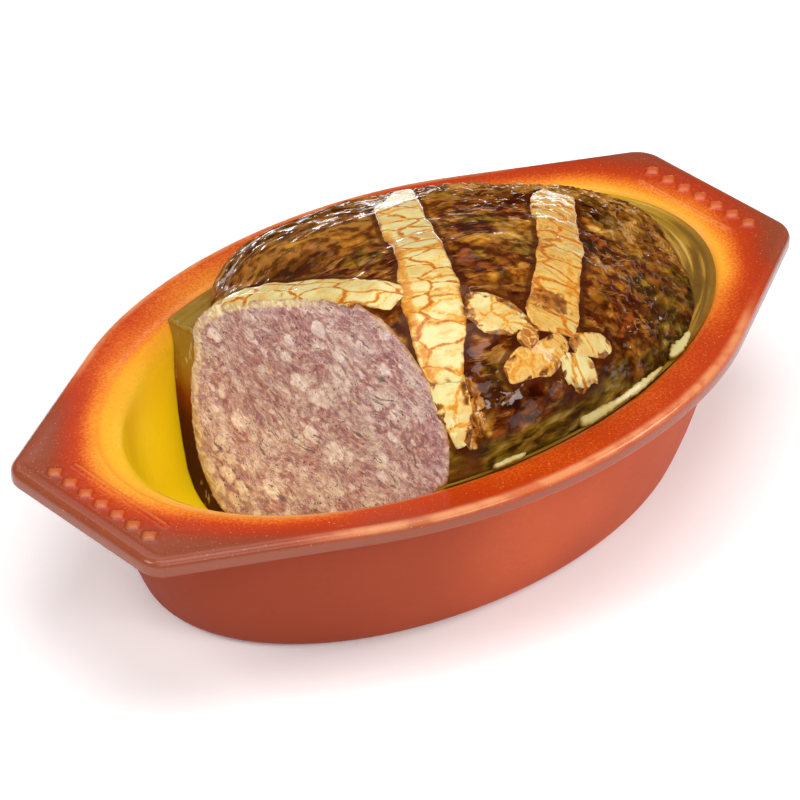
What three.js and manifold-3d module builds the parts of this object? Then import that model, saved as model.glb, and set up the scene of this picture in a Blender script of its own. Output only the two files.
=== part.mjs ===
import * as THREE from 'three';
import { mergeVertices } from 'three/addons/utils/BufferGeometryUtils.js';
import Module from 'manifold-3d';

// Cut rabbit terrine in its own oval stoneware dish, millimetres, +Z up.
// X runs along the dish, the origin is the middle of the base.

const wasm = await Module();
wasm.setup();

// ---- dish: flange (the flat rim that widens into a lug at each end)
const dishHalfLength = 180;
const rimHeight = 76;
const flangeHalfWidth = 110.3;
const flangeCurveHalfLength = 164.2;
const straightSideStart = 102.9;
const cornerRadiusLeft = 11;
const cornerRadiusRight = 14;
const endEdgeSkew = 0.025;
const flangeThickness = 7.3;
const topEdgeRadius = 2.8;
const bottomEdgeRadius = 1.5;
const creaseInset = 6.5;
const innerBandDrop = 0.4;

// ---- dish: body
const baseHalfLength = 130.3;
const baseHalfWidth = 80.5;
const bodyFlareLength = 17.7;
const bodyFlareWidth = 15.5;
const bodyFlarePower = 1.9;
const bodyTop = 68.5;
const baseCornerRadius = 6;
const underFlangeFillet = 4;

// ---- dish: well
const lipHalfLength = 151.5;
const lipHalfWidth = 91.5;
const wallAtFoot = 20;
const wallAtRim = 8;
const lipFlareStart = 66;
const floorHeight = 9;
const floorFillet = 12;

// ---- raised lozenges along each lug
const lozengeCount = 7;
const lozengePitch = 9.6;
const lozengeHalfLength = 4.3;
const lozengeHalfWidth = 4.8;
const lozengeHeight = 1.2;
const lozengeRowX = 168;
const ridgeX = 158.5;
const ridgeHalfLength = 29;
const ridgeHalfWidth = 1;

// ---- food
const fit = 0.3;
const cutAtRim = -62.5;
const cutLean = 0.26;
const loafBottom = 12;
const loafBottomRadius = 20;
const loafGap = 2;
const domeRise = 51.6;
const domeCentreX = -16.5;
const domeCentreY = -24.5;
const domeEnd = { spread: 1.67, shoulder: 0.96 };
const domeBack = { spread: 1.0, shoulder: 0.47 };
const domeFront = { spread: 1.6, shoulder: 0.3 };
const backPocket = 13;
const bathWidth = 15;
const bathAngle = -18;
const bathSpread = 27;
const jellyLevel = 75.6;
const stripThickness = 2.2;

const smooth = (a, b, v) => THREE.MathUtils.smoothstep(v, a, b);
const deg = THREE.MathUtils.degToRad;

// ---------------------------------------------------------------- solids

// Closed mesh from a pole, a run of equal rings and a last pole. Each ring
// turns right-handed about the direction in which the rings advance.
function ringSolid(firstPole, rings, lastPole) {
  const n = rings[0].length;
  const points = [firstPole, ...rings.flat(), lastPole];
  const last = points.length - 1;
  const faces = [];
  for (let i = 0; i < n; i++) {
    const j = (i + 1) % n;
    faces.push(0, 1 + j, 1 + i);
    for (let k = 0; k + 1 < rings.length; k++) {
      const a = 1 + k * n;
      const b = a + n;
      faces.push(a + i, a + j, b + j, a + i, b + j, b + i);
    }
    const top = 1 + (rings.length - 1) * n;
    faces.push(top + i, top + j, last);
  }
  const geometry = new THREE.BufferGeometry();
  geometry.setAttribute('position', new THREE.Float32BufferAttribute(points.flat(), 3));
  geometry.setIndex(faces);
  return geometry;
}

function toManifold(geometry) {
  const g = mergeVertices(geometry, 1e-4);
  const vertProperties = new Float32Array(g.getAttribute('position').array);
  const triVerts = new Uint32Array(g.getIndex().array);
  return new wasm.Manifold(new wasm.Mesh({ numProp: 3, vertProperties, triVerts }));
}

function toGeometry(manifold) {
  const mesh = manifold.getMesh();
  const positions = [];
  for (let i = 0; i < mesh.vertProperties.length; i += mesh.numProp) {
    positions.push(...mesh.vertProperties.slice(i, i + 3));
  }
  const geometry = new THREE.BufferGeometry();
  geometry.setAttribute('position', new THREE.Float32BufferAttribute(positions, 3));
  geometry.setIndex(Array.from(mesh.triVerts));
  return geometry;
}

// ---------------------------------------------------------------- outlines

const straightStartWidth =
  flangeHalfWidth * Math.sqrt(1 - (straightSideStart / flangeCurveHalfLength) ** 2);
const straightSlope =
  (flangeHalfWidth ** 2 * straightSideStart) / (flangeCurveHalfLength ** 2 * straightStartWidth);

// One quarter of the flange, from the middle of an end to the middle of a side.
function flangeQuarter(cornerRadius) {
  const points = [];
  const sideAngle = Math.atan(straightSlope);
  const cornerY =
    straightStartWidth - straightSlope * (dishHalfLength - straightSideStart);
  const half = (Math.PI / 2 + sideAngle) / 2;
  const tangent = cornerRadius / Math.tan(half);
  const arcX = dishHalfLength - cornerRadius;
  const arcY = cornerY - tangent;
  const endSteps = 3;
  for (let i = 0; i < endSteps; i++) points.push([dishHalfLength, (arcY * i) / endSteps]);
  const arcSteps = 4;
  const sweep = Math.PI / 2 - sideAngle;
  for (let i = 0; i <= arcSteps; i++) {
    const a = (sweep * i) / arcSteps;
    points.push([arcX + cornerRadius * Math.cos(a), arcY + cornerRadius * Math.sin(a)]);
  }
  const [fromX, fromY] = points[points.length - 1];
  const straightSteps = 2;
  for (let i = 1; i <= straightSteps; i++) {
    const t = i / straightSteps;
    points.push([
      fromX + (straightSideStart - fromX) * t,
      fromY + (straightStartWidth - fromY) * t,
    ]);
  }
  const curveSteps = 7;
  const startAngle = Math.asin(straightSideStart / flangeCurveHalfLength);
  for (let i = 1; i <= curveSteps; i++) {
    const a = startAngle * (1 - i / curveSteps);
    points.push([flangeCurveHalfLength * Math.sin(a), flangeHalfWidth * Math.cos(a)]);
  }
  return points;
}

// The four quarters joined counter-clockwise, with the slight skew of the ends.
function flangeOutline() {
  const right = flangeQuarter(cornerRadiusRight);
  const left = flangeQuarter(cornerRadiusLeft);
  const all = [
    ...right,
    ...left.slice(0, -1).reverse().map(([x, y]) => [-x, y]),
    ...left.slice(1).map(([x, y]) => [-x, -y]),
    ...right.slice(1, -1).reverse().map(([x, y]) => [x, -y]),
  ];
  return all.map(([x, y]) => [x + endEdgeSkew * y * (x / dishHalfLength) ** 4, y]);
}

function insetLoop(points, distance) {
  const n = points.length;
  return points.map(([x, y], i) => {
    const [ax, ay] = points[(i + n - 1) % n];
    const [bx, by] = points[(i + 1) % n];
    const length = Math.hypot(bx - ax, by - ay);
    return [x - ((by - ay) / length) * distance, y + ((bx - ax) / length) * distance];
  });
}

const outline = flangeOutline();
const turns = outline.map(([x, y]) => Math.atan2(y / flangeHalfWidth, x / dishHalfLength));

const atHeight = (loop, z) => loop.map(([x, y]) => [x, y, z]);
const ellipse = (halfLength, halfWidth) =>
  turns.map((t) => [halfLength * Math.cos(t), halfWidth * Math.sin(t)]);

// ---------------------------------------------------------------- dish

function bodyRadii(z) {
  const rise = 1 - (1 - Math.min(z / bodyTop, 1)) ** bodyFlarePower;
  return [baseHalfLength + bodyFlareLength * rise, baseHalfWidth + bodyFlareWidth * rise];
}

// The well wall follows the body and opens to the lip near the top. Below the
// top of the floor fillet it curves in to the flat floor.
function wellRadii(z) {
  const wall = wallAtFoot + ((wallAtRim - wallAtFoot) * z) / rimHeight;
  const [bodyP, bodyQ] = bodyRadii(z);
  const flare = Math.max(0, (z - lipFlareStart) / (rimHeight - lipFlareStart)) ** 2;
  const foot = floorHeight + floorFillet - z;
  const curl = foot > 0 ? floorFillet - Math.sqrt(floorFillet ** 2 - Math.min(foot, floorFillet) ** 2) : 0;
  return [
    (bodyP - wall) * (1 - flare) + lipHalfLength * flare - curl,
    (bodyQ - wall) * (1 - flare) + lipHalfWidth * flare - curl,
  ];
}

const wellHeights = [75.6, 73.8, 71.5, 68.5, 61, 42, 21, 14.5, 10.6, 9];

function dishBlank() {
  const rings = [];
  for (const a of [0, 35, 62, 90]) {
    const z = baseCornerRadius * (1 - Math.cos(deg(a)));
    const inset = baseCornerRadius * (1 - Math.sin(deg(a)));
    const [p, q] = bodyRadii(z);
    rings.push(atHeight(ellipse(p - inset, q - inset), z));
  }
  const underside = rimHeight - flangeThickness;
  for (const z of [15, 27, 42]) rings.push(atHeight(ellipse(...bodyRadii(z)), z));
  for (const a of [0, 45, 90]) {
    const z = underside - underFlangeFillet * (1 - Math.sin(deg(a)));
    const out = underFlangeFillet * (1 - Math.cos(deg(a)));
    const [p, q] = bodyRadii(underside - underFlangeFillet);
    rings.push(atHeight(ellipse(p + out, q + out), z));
  }
  rings.push(atHeight(insetLoop(outline, bottomEdgeRadius), underside));
  rings.push(atHeight(outline, underside + bottomEdgeRadius));
  for (const a of [0, 30, 60, 90]) {
    const inset = topEdgeRadius * (1 - Math.cos(deg(a)));
    const z = rimHeight - topEdgeRadius * (1 - Math.sin(deg(a)));
    rings.push(atHeight(insetLoop(outline, inset), z));
  }
  rings.push(atHeight(insetLoop(outline, creaseInset), rimHeight));
  rings.push(atHeight(ellipse(lipHalfLength + 2.5, lipHalfWidth + 2.5), rimHeight - innerBandDrop / 2));
  rings.push(atHeight(ellipse(lipHalfLength + 0.8, lipHalfWidth + 0.8), rimHeight - innerBandDrop));
  for (const z of wellHeights.slice(1)) rings.push(atHeight(ellipse(...wellRadii(z)), z));
  return ringSolid([0, 0, 0], rings, [0, 0, floorHeight]);
}

// Low raised figure on a lug: a four-cornered foot and a smaller top.
function raisedFigure(x, y, halfX, halfY, turnBy, height) {
  const ring = (inset, z) =>
    [0, 90, 180, 270].map((a) => {
      const reach = turnBy === 0 ? 1 : Math.SQRT2;
      const angle = deg(a + turnBy);
      const px = (halfX - inset) * reach * Math.cos(angle);
      const py = (halfY - inset) * reach * Math.sin(angle);
      return [x + px + endEdgeSkew * (y + py), y + py, z];
    });
  const foot = rimHeight - 2;
  const rings = [
    ring(0, foot),
    ring(0, rimHeight + 0.4 * height),
    ring(halfX * 0.5, rimHeight + height),
  ];
  const centre = x + endEdgeSkew * y;
  return toManifold(ringSolid([centre, y, foot], rings, [centre, y, rimHeight + height]));
}

function makeDish() {
  let dish = toManifold(dishBlank());
  for (const side of [-1, 1]) {
    for (let i = 0; i < lozengeCount; i++) {
      const y = (i - (lozengeCount - 1) / 2) * lozengePitch;
      const x = side * lozengeRowX;
      dish = dish.add(raisedFigure(x, y, lozengeHalfWidth, lozengeHalfLength, 0, lozengeHeight));
    }
    const ridge = [side * ridgeX, 0, ridgeHalfWidth, ridgeHalfLength, 45, lozengeHeight * 0.7];
    dish = dish.add(raisedFigure(...ridge));
  }
  return dish;
}

// ---------------------------------------------------------------- loaf

// Space between loaf and well: a thin film nearly all round, a pocket at the
// back beside the cut and a wider bath at the uncut end.
function jellyGap(turn, z) {
  let angle = THREE.MathUtils.radToDeg(turn);
  if (angle < -150) angle += 360;
  const pocket = smooth(101, 113, angle) * (1 - smooth(195, 215, angle));
  const up = Math.max(0, (z - 40) / (rimHeight - 40));
  const bathRise = Math.max(0, (z - 60) / (rimHeight - 60)) ** 2;
  const bath = Math.exp(-(((angle - bathAngle) / bathSpread) ** 2));
  return loafGap + pocket * (backPocket - 7 * (1 - up ** 2)) + bathWidth * bath * bathRise;
}

function loafRing(z, grow) {
  const [p, q] = wellRadii(Math.max(z, floorHeight + floorFillet));
  const foot = loafBottom + loafBottomRadius - z;
  const curl = foot > 0
    ? loafBottomRadius - Math.sqrt(loafBottomRadius ** 2 - Math.min(foot, loafBottomRadius) ** 2)
    : 0;
  return turns.map((t) => {
    const gap = jellyGap(t, z) + curl - grow;
    return [(p - gap) * Math.cos(t), (q - gap) * Math.sin(t)];
  });
}

const loafEdge = loafRing(rimHeight, 0);

function domeProfile(reach, dx, dy) {
  const across = 1 - (dx * dx) / (dx * dx + dy * dy + 1e-9);
  const side = dy > 0 ? domeBack : domeFront;
  const spread = side.spread * across + domeEnd.spread * (1 - across);
  const shoulder = side.shoulder * across + domeEnd.shoulder * (1 - across);
  const soft = (Math.hypot(reach, 0.12) - 0.12) / (Math.hypot(1, 0.12) - 0.12);
  return rimHeight + domeRise * (1 - Math.min(soft, 1) ** spread) ** shoulder;
}

// Height of the dome over a plan point, from how far the point lies between
// the crown and the edge of the loaf.
function domeHeight(x, y) {
  const dx = x - domeCentreX;
  const dy = y - domeCentreY;
  let reach = 1;
  for (let i = 0; i < loafEdge.length; i++) {
    const [ax, ay] = loafEdge[i];
    const [bx, by] = loafEdge[(i + 1) % loafEdge.length];
    const ex = bx - ax;
    const ey = by - ay;
    const det = ex * dy - ey * dx;
    const along = (dx * (ay - domeCentreY) - dy * (ax - domeCentreX)) / det;
    const far = (ex * (ay - domeCentreY) - ey * (ax - domeCentreX)) / det;
    if (det !== 0 && along >= 0 && along <= 1 && far > 0) reach = 1 / far;
  }
  return domeProfile(reach, dx, dy);
}

function loafBlank(grow) {
  const rings = [];
  for (const drop of [0, 2, 7.5, 14]) {
    const z = loafBottom + drop;
    rings.push(atHeight(loafRing(z, grow), z - grow));
  }
  for (const z of [32, 50, 63, 70]) rings.push(atHeight(loafRing(z, grow), z));
  const edge = loafRing(rimHeight, grow);
  for (const reach of [1, 0.985, 0.955, 0.9, 0.82, 0.68, 0.48, 0.24]) {
    rings.push(edge.map(([x, y], i) => {
      const dx = loafEdge[i][0] - domeCentreX;
      const dy = loafEdge[i][1] - domeCentreY;
      const z = domeProfile(reach, dx, dy) + (reach < 1 ? grow : 0);
      return [domeCentreX + (x - domeCentreX) * reach, domeCentreY + (y - domeCentreY) * reach, z];
    }));
  }
  const crown = [domeCentreX, domeCentreY, rimHeight + domeRise + grow];
  return ringSolid([0, 0, loafBottom - grow], rings, crown);
}

// Everything on the uncut side of the leaning cut.
function keptSide() {
  const cutX = (z) => cutAtRim + cutLean * (z - rimHeight);
  const square = (z) => [[cutX(z), -150, z], [250, -150, z], [250, 150, z], [cutX(z), 150, z]];
  return toManifold(ringSolid([50, 0, -20], [square(-20), square(160)], [50, 0, 160]));
}

function makeJelly(kept, clearance) {
  const heights = wellHeights.slice().reverse();
  const rings = heights.map((z) => {
    const [p, q] = wellRadii(z);
    return atHeight(ellipse(p - fit, q - fit), Math.min(z + fit, jellyLevel));
  });
  const fill = toManifold(ringSolid([0, 0, floorHeight + fit], rings, [0, 0, jellyLevel]));
  return fill.subtract(clearance).intersect(kept);
}

// ---------------------------------------------------------------- fat strips

// Each slice of fat: plan points along its middle with the half width there.
const fatStrips = {
  fat_strip_long: [
    [46.8, 57.3, 4], [35, 46.3, 7], [19.1, 30.8, 10.3], [-4.7, -5.2, 10.3], [-18.5, -25, 11.8],
    [-27.3, -37.2, 12.5], [-36.5, -49.3, 12], [-45.5, -61.5, 7],
  ],
  fat_strip_wide: [
    [98.7, 16.4, 5.5], [88.2, 9.8, 9.5], [75.4, -2.9, 10.2], [50.2, -31.4, 9.5],
    [23.9, -56.1, 8.3], [11.2, -66, 6.2], [5.5, -71.5, 3.5],
  ],
  fat_strip_at_cut: [
    [-56, 57, 8], [-52, 44, 8], [-48.5, 22, 9], [-46, 0, 9], [-43.5, -16, 6.5], [-42, -27, 3],
  ],
  fat_patch_corner: [[-50.5, -60.5, 2.5], [-51, -68, 5], [-51, -76, 3]],
  fat_patch_middle: [[-13, -46.5, 7], [-9.5, -54.5, 9.5], [-5, -61.5, 7.5]],
  fat_patch_small: [[-9.5, -69, 2.5], [-6, -68.5, 3], [-2.5, -68, 2.5]],
  fat_patch_lip: [[-21, -76.5, 2], [-12, -78.5, 4.2], [0, -76.5, 3.4], [9, -75.6, 2]],
  fat_patch_right: [[19, -76, 2.6], [25, -76.3, 3.6], [31, -76.3, 2.4]],
  fat_patch_low: [[0.5, -83.3, 1.8], [8, -82.2, 2.8], [15.5, -80.9, 2]],
};

// Point lifted from the loaf's surface along its normal.
function overLoaf(x, y, lift) {
  const d = 0.5;
  const h = domeHeight(x, y);
  const slopeX = (domeHeight(x + d, y) - domeHeight(x - d, y)) / (2 * d);
  const slopeY = (domeHeight(x, y + d) - domeHeight(x, y - d)) / (2 * d);
  const scale = lift / Math.hypot(slopeX, slopeY, 1);
  return [x - slopeX * scale, y - slopeY * scale, h + scale];
}

function stripSolid(path) {
  const curve = new THREE.CatmullRomCurve3(path.map((p) => new THREE.Vector3(...p)));
  const steps = Math.max(4, Math.round(curve.getLength() / 10));
  const across = [1, 0.8, 0, -0.8, -1];
  const raised = [0.4, 0.95, 1, 0.95, 0.4];
  const rings = [];
  const poles = [];
  for (let i = 0; i <= steps; i++) {
    const p = curve.getPointAt(i / steps);
    const t = curve.getTangentAt(i / steps);
    const flat = Math.hypot(t.x, t.y);
    const half = i === 0 || i === steps ? p.z * 0.72 : p.z;
    const spot = (v, lift) =>
      overLoaf(p.x - (t.y / flat) * half * v, p.y + (t.x / flat) * half * v, fit + lift);
    const top = across.map((v, k) => spot(v, stripThickness * raised[k]));
    const under = [-1, 0, 1].map((v) => spot(v, -1.2));
    rings.push([...top, ...under]);
    if (i === 0 || i === steps) poles.push(spot(0, stripThickness * 0.5));
  }
  return ringSolid(poles[0], rings, poles[1]);
}

// ---------------------------------------------------------------- assembly

function finish(name, manifold, color, roughness) {
  const material = new THREE.MeshStandardMaterial({ color, roughness });
  material.name = name + '_surface';
  const mesh = new THREE.Mesh(toGeometry(manifold), material);
  mesh.name = name;
  return mesh;
}

const part = new THREE.Group();
part.name = 'rabbit_terrine';

const kept = keptSide();
const clearance = toManifold(loafBlank(fit));
part.add(finish('dish', makeDish(), 0xd9632a, 0.25));
part.add(finish('loaf', toManifold(loafBlank(0)).intersect(kept), 0xa8744f, 0.6));
part.add(finish('jelly', makeJelly(kept, clearance), 0x8a5a1e, 0.3));
for (const [name, path] of Object.entries(fatStrips)) {
  const slice = toManifold(stripSolid(path)).subtract(clearance).intersect(kept);
  part.add(finish(name, slice, 0xe8d898, 0.45));
}

export default part;
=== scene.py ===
import functools
import math
import bmesh
import bpy
from mathutils import Matrix, Vector, noise
from mathutils.bvhtree import BVHTree
from mathutils.kdtree import KDTree


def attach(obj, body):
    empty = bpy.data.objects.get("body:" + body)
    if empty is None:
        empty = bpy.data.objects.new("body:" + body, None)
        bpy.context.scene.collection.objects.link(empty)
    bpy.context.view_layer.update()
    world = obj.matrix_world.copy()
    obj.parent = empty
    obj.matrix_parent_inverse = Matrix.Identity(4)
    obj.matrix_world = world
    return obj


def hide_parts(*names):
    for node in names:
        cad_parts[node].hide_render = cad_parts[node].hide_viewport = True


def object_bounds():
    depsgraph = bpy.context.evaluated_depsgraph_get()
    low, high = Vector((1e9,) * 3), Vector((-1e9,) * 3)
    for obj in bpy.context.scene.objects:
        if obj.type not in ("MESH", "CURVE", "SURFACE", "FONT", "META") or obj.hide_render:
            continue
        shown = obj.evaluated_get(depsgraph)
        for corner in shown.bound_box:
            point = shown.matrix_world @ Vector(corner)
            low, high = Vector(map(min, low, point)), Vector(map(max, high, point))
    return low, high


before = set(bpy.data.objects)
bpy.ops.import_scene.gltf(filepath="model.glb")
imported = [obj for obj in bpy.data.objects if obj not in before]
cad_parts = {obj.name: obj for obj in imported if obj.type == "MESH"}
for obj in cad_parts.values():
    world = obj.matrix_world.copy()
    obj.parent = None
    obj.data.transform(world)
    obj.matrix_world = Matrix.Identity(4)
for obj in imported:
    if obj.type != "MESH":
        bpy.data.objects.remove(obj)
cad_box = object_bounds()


# ------------------------------------------------------------------ studio
# A plain pale sweep under soft light: softboxes from the right, the left, above
# and in front, a wide fill, and two cards behind that the wet surfaces mirror.

def paint(red, green, blue):
    """A colour given 0 to 255, in the linear values that light uses."""
    linear = [((c / 255 + 0.055) / 1.055) ** 2.4 if c > 10 else c / 3295 for c in (red, green, blue)]
    return (*linear, 1.0)


def put(kind, inputs, tree=None, **settings):
    """One shader node beside the nodes that feed it. A colour is given 0 to 255."""
    feeding = [value for value in inputs.values() if isinstance(value, bpy.types.NodeSocket)]
    made = (tree or feeding[0].id_data).nodes.new("ShaderNode" + kind)
    for key, value in settings.items():
        setattr(made, key, value)
    for name, value in inputs.items():
        socket = made.inputs[name]
        if isinstance(value, bpy.types.NodeSocket):
            made.id_data.links.new(value, socket)
        else:
            socket.default_value = paint(*value) if socket.type == "RGBA" else value
    return made


def feed(shader, **inputs):
    """Sets or joins the inputs of a material's own shader."""
    for name, value in inputs.items():
        socket = shader.inputs[name.replace("_", " ")]
        if isinstance(value, bpy.types.NodeSocket):
            shader.id_data.links.new(value, socket)
        else:
            socket.default_value = value


def new_finish(name, **settings):
    """A material, its own shader, and the place on the piece in millimetres."""
    made = bpy.data.materials.new(name)
    made.use_nodes = True
    shader = made.node_tree.nodes["Principled BSDF"]
    feed(shader, **settings)
    place = put("TexCoord", {}, made.node_tree).outputs["Object"]
    place = put("VectorMath", {0: place, "Scale": 1000.0}, operation="SCALE").outputs[0]
    return made, shader, place


def mesh_of(drawn, name):
    """What has been drawn, as a mesh for an object to hold."""
    mesh = bpy.data.meshes.new(name)
    drawn.to_mesh(mesh)
    drawn.free()
    return mesh


def placed(name, data, finish=None):
    """An object in the scene, in its finish."""
    made = bpy.data.objects.new(name, data)
    bpy.context.scene.collection.objects.link(made)
    if finish:
        data.materials.clear()
        data.materials.append(finish)
    return made


paper, shader, place = new_finish("plain_sweep", Roughness=0.9, Specular_IOR_Level=0.1,
                                  Emission_Color=(1, 1, 1, 1), Emission_Strength=0.14)
cloud = put("TexNoise", {"Vector": place, "Scale": 0.004}).outputs["Fac"]
tone = put("Mix", {0: cloud, 6: (250, 250, 249), 7: (247, 247, 247)}, data_type="RGBA")
feed(shader, Base_Color=tone.outputs[2])

sweep = bmesh.new()
bmesh.ops.create_grid(sweep, x_segments=8, y_segments=8, size=6.0)
sweep_floor = placed("sweep", mesh_of(sweep, "sweep"), paper)

surround = bpy.data.worlds.new("surround")
surround.use_nodes = True
surround.node_tree.nodes["Background"].inputs["Color"].default_value = (1.0, 1.0, 1.0, 1.0)
surround.node_tree.nodes["Background"].inputs["Strength"].default_value = 0.10
bpy.context.scene.world = surround


def softbox(name, place, target, size_x, size_y, glow, roll=0.0):
    """A soft lamp; glow is how bright its face looks beside a white floor."""
    lamp = bpy.data.lights.new(name, "AREA")
    lamp.shape = "RECTANGLE"
    lamp.size = size_x
    lamp.size_y = size_y
    lamp.energy = glow * size_x * size_y * math.pi
    lamp.color = (1.0, 0.985, 0.99)
    held = placed(name, lamp)
    held.location = place
    aim = (Vector(target) - Vector(place)).to_track_quat("-Z", "Y").to_matrix()
    held.rotation_euler = (aim @ Matrix.Rotation(math.radians(roll), 3, "Z")).to_euler()


softbox("softbox_right", (1.30, -0.90, 1.16), (0, 0, 0.06), 0.62, 0.46, 11.0)
softbox("softbox_left", (-1.45, 0.45, 1.45), (0, 0, 0.06), 1.0, 0.9, 6.4)
softbox("softbox_above", (0.05, -0.10, 1.95), (0, 0, 0.06), 1.4, 1.2, 3.6)
softbox("softbox_front", (0.22, -1.55, 0.92), (0, 0, 0.06), 0.5, 0.34, 9.5)
softbox("wide_fill", (-0.95, -1.35, 1.30), (0, 0, 0.06), 1.6, 1.2, 2.5)
softbox("low_card_behind", (0.36, 0.72, 0.03), (0, 0, 0.06), 1.1, 0.03, 7.0)
softbox("faint_card", (0.72, 0.90, 1.29), (-0.25, -0.21, 0.26), 1.28, 0.5, 1.3, -13)

lens = bpy.data.cameras.new("camera")
lens.lens = 208.3
lens.sensor_width = 36.0
lens.clip_start = 0.1
lens.clip_end = 30.0
camera = placed("camera", lens)
facing = Vector((0.57664, 0.60243, -0.55188)).to_track_quat("-Z", "Y")
slight_tilt = Matrix.Rotation(0.005, 3, "Z").to_quaternion()
camera.rotation_mode = "QUATERNION"
camera.rotation_quaternion = facing @ slight_tilt
camera.location = (-1.09876, -1.13859, 1.09481)
bpy.context.scene.camera = camera
bpy.context.scene.view_settings.view_transform = "Standard"


# -------------------------------------------------------------------- dish
# Oval stoneware dish, cast in one piece with a flat flange that widens into a
# lug at each end. The clay outside is thinly glazed terracotta; the flange and
# the well carry a thick glaze sprayed from yellow to red and brown.

RIM = 76.0
HALF_LENGTH, HALF_WIDTH = 180.0, 110.3
LIP = 151.5, 91.5


def blend(low, high, value):
    t = min(max((value - low) / (high - low), 0.0), 1.0)
    return t * t * (3 - 2 * t)


def flange_quarter(corner_radius):
    """From the middle of a lug's end round its corner and along a straight run that meets the
    side's ellipse, on to the middle of the side, in millimetres."""
    ellipse, meets = 164.2, 102.9
    start_width = HALF_WIDTH * math.sqrt(1 - (meets / ellipse) ** 2)
    slope = HALF_WIDTH ** 2 * meets / (ellipse ** 2 * start_width)
    lean = math.atan(slope)
    arc_y = start_width - slope * (HALF_LENGTH - meets) - corner_radius / math.tan((math.pi / 2 + lean) / 2)
    arc_x = HALF_LENGTH - corner_radius
    points = [(HALF_LENGTH, arc_y * i / 7) for i in range(7)]
    for i in range(9):
        a = (math.pi / 2 - lean) * i / 8
        points.append((arc_x + corner_radius * math.cos(a), arc_y + corner_radius * math.sin(a)))
    from_x, from_y = points[-1]
    points += [(from_x + (meets - from_x) * i / 10, from_y + (start_width - from_y) * i / 10)
               for i in range(1, 11)]
    start = math.asin(meets / ellipse)
    points += [(ellipse * math.sin(start * (1 - i / 16)), HALF_WIDTH * math.cos(start * (1 - i / 16)))
               for i in range(1, 17)]
    return points


def flange_outline():
    right, left = flange_quarter(corner_radius=14), flange_quarter(corner_radius=11)
    around = right + [(-x, y) for x, y in reversed(left[:-1])]
    around += [(-x, -y) for x, y in left[1:]] + [(x, -y) for x, y in reversed(right[1:-1])]
    skew = 0.025
    return [(x + skew * y * (x / HALF_LENGTH) ** 4, y) for x, y in around]


def inset(loop, distance):
    out = []
    for i, (x, y) in enumerate(loop):
        ax, ay = loop[i - 1]
        bx, by = loop[(i + 1) % len(loop)]
        length = math.hypot(bx - ax, by - ay)
        out.append((x - (by - ay) / length * distance, y + (bx - ax) / length * distance))
    return out


def body_radii(z):
    rise = 1 - (1 - min(z / 68.5, 1)) ** 1.9
    return 130.3 + 17.7 * rise, 80.5 + 15.5 * rise


def well_radii(z):
    wall = 20 - 12 * z / RIM
    flare = max(0.0, (z - 66) / 10) ** 2
    floor, corner = 9, 12
    foot = min(max(floor + corner - z, 0.0), corner)
    curl = corner - math.sqrt(corner ** 2 - foot ** 2)
    return [(r - wall) * (1 - flare) + lip * flare - curl for r, lip in zip(body_radii(z), LIP)]


def draw_rings(bm, rings):
    """A round sheet whose open edge is drawn out ring by ring and closed; points in millimetres."""
    count = len(rings[0])
    made = bmesh.ops.create_circle(bm, segments=count, radius=1.0, cap_ends=False)["verts"]
    for vert, point in zip(made, rings[0]):
        vert.co = Vector(point) * 0.001
    columns = [made]
    edges = [bm.edges.get((made[i], made[(i + 1) % count])) for i in range(count)]
    bmesh.ops.contextual_create(bm, geom=edges)
    for ring in rings[1:]:
        grown = bmesh.ops.extrude_edge_only(bm, edges=edges)["geom"]
        fresh = {v for v in grown if isinstance(v, bmesh.types.BMVert)}
        drawn = [next(e.other_vert(v) for e in v.link_edges if e.other_vert(v) in fresh)
                 for v in columns[-1]]
        for vert, point in zip(drawn, ring):
            vert.co = Vector(point) * 0.001
        columns.append(drawn)
        edges = [bm.edges.get((drawn[i], drawn[(i + 1) % count])) for i in range(count)]
    bmesh.ops.contextual_create(bm, geom=edges)
    return columns


outline = flange_outline()
turns = [math.atan2(y / HALF_WIDTH, x / HALF_LENGTH) for x, y in outline]


def at_height(loop, z):
    return [(x, y, z) for x, y in loop]


def oval(p, q):
    return [(p * math.cos(t), q * math.sin(t)) for t in turns]


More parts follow.
